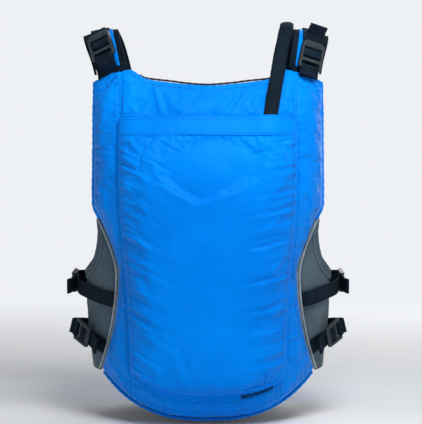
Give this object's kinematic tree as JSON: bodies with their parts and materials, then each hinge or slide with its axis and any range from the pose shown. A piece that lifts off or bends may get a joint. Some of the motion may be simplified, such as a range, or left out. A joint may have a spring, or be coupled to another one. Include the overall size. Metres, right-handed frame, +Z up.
{
  "type": "buoyancy vest",
  "caption": "Foam-filled pull-over buoyancy vest with padded shoulder straps, side straps, a back pocket for a water bladder and a drinking hose.",
  "frame": {"origin": "middle of the torso opening, level with the lowest point of the back hem", "axes": "+Z up along the wearer's spine, +Y towards the wearer's back, +X towards the wearer's left"},
  "size_m": [0.3788, 0.3186, 0.5312],
  "materials": {
    "foam": "closed-cell foam, matt",
    "shell": "smooth coated nylon, soft sheen",
    "lining": "dark knitted lining, matt",
    "panel": "grey stretch knit, matt",
    "piping": "silver-grey piping, slight sheen",
    "binding": "black binding tape",
    "pad": "black neoprene with fabric face",
    "webbing": "black woven webbing",
    "buckle": "moulded black acetal, satin",
    "zip_metal": "black painted slider",
    "cord_pull": "moulded pull tab",
    "bladder": "clear film",
    "valve": "soft silicone"
  },
  "bodies": {
    "vest": {"back_foam": "foam", "back_shell": "shell", "back_lining": "lining", "back_pocket": "shell", "pocket_mouth_band": "shell", "pocket_drain_mesh": "binding", "back_hem_binding": "shell", "back_neck_binding": "lining", "water_bladder": "bladder", "bladder_hanger": "webbing", "hose_sleeve": "pad", "drinking_tube": "bladder", "hose_keeper": "webbing", "front_foam": "foam", "front_shell": "shell", "front_lining": "lining", "front_pocket": "shell", "zip_tapes": "webbing", "zip_coils": "buckle", "front_hem_binding": "shell", "front_neck_binding": "lining", "side_panel_left": "panel", "side_panel_right": "panel", "back_piping_left": "piping", "back_piping_right": "piping", "armhole_binding_left": "shell", "armhole_binding_right": "shell", "shoulder_pad_left": "pad", "shoulder_pad_right": "pad", "shoulder_webbing_left": "webbing", "shoulder_webbing_right": "webbing", "shoulder_anchor_left": "webbing", "shoulder_anchor_right": "webbing", "side_straps": "webbing", "side_anchors": "webbing", "ring_tab": "webbing"},
    "shoulder_adjuster_left": {"shoulder_buckle_left": "buckle", "shoulder_tail_left": "webbing"},
    "shoulder_adjuster_right": {"shoulder_buckle_right": "buckle", "shoulder_tail_right": "webbing"},
    "upper_adjuster_left": {"upper_buckle_left": "buckle", "upper_tail_left": "webbing"},
    "upper_adjuster_right": {"upper_buckle_right": "buckle", "upper_tail_right": "webbing"},
    "lower_adjuster_left": {"lower_buckle_left": "buckle", "lower_tail_left": "webbing"},
    "lower_adjuster_right": {"lower_buckle_right": "buckle", "lower_tail_right": "webbing"},
    "slider": {"zip_slider": "zip_metal"},
    "pull": {"zip_pull": "cord_pull"},
    "hose_end": {"hose_end_sleeve": "pad"},
    "valve": {"bite_valve": "valve"},
    "cap": {"bladder_cap": "buckle"},
    "ring": {"accessory_ring": "buckle"}
  },
  "joints": [
    {"name": "shoulder_buckle_left_tilt", "type": "hinge", "parent": "vest", "child": "shoulder_adjuster_left", "pos_m": [0.13724, 0.07455, 0.47033], "axis": [-0.8792, 0.2741, 0.3896], "range_deg": [0, 50]},
    {"name": "shoulder_buckle_right_tilt", "type": "hinge", "parent": "vest", "child": "shoulder_adjuster_right", "pos_m": [-0.13377, 0.07629, 0.45519], "axis": [-0.8979, -0.3669, -0.2434], "range_deg": [0, 50]},
    {"name": "upper_buckle_left_tilt", "type": "hinge", "parent": "vest", "child": "upper_adjuster_left", "pos_m": [0.18435, -0.03576, 0.172], "axis": [0.0014, -0.1271, -0.9919], "range_deg": [0, 50]},
    {"name": "upper_buckle_right_tilt", "type": "hinge", "parent": "vest", "child": "upper_adjuster_right", "pos_m": [-0.18435, -0.03576, 0.172], "axis": [0.0014, 0.1271, 0.9919], "range_deg": [0, 50]},
    {"name": "lower_buckle_left_tilt", "type": "hinge", "parent": "vest", "child": "lower_adjuster_left", "pos_m": [0.17757, 0.03185, 0.108], "axis": [0.202, -0.2623, -0.9436], "range_deg": [0, 50]},
    {"name": "lower_buckle_right_tilt", "type": "hinge", "parent": "vest", "child": "lower_adjuster_right", "pos_m": [-0.17757, 0.03185, 0.108], "axis": [0.202, 0.2623, 0.9436], "range_deg": [0, 50]},
    {"name": "zip_travel", "type": "hinge", "parent": "vest", "child": "slider", "pos_m": [0, 0.22694, 0.21], "axis": [0, 0, 1], "range_deg": [0, 18.4]},
    {"name": "zip_pull_flip", "type": "hinge", "parent": "slider", "child": "pull", "pos_m": [-0.06181, -0.15469, 0.21], "axis": [0, 0, -1], "range_deg": [0, 165]},
    {"name": "hose_lift", "type": "hinge", "parent": "vest", "child": "hose_end", "pos_m": [-0.098, -0.14193, 0.392], "axis": [-1, 0, 0], "range_deg": [0, 70]},
    {"name": "bite_valve_twist", "type": "hinge", "parent": "hose_end", "child": "valve", "pos_m": [-0.098, -0.13343, 0.322], "axis": [0, 0, 1], "range_deg": [-90, 30]},
    {"name": "bladder_cap_turn", "type": "hinge", "parent": "vest", "child": "cap", "pos_m": [0, 0.14772, 0.3], "axis": [0, 1, 0], "range_deg": [0, 90]},
    {"name": "accessory_ring_swing", "type": "hinge", "parent": "vest", "child": "ring", "pos_m": [0.098, -0.12402, 0.388], "axis": [-1, 0, 0], "range_deg": [0, 80]}
  ]
}
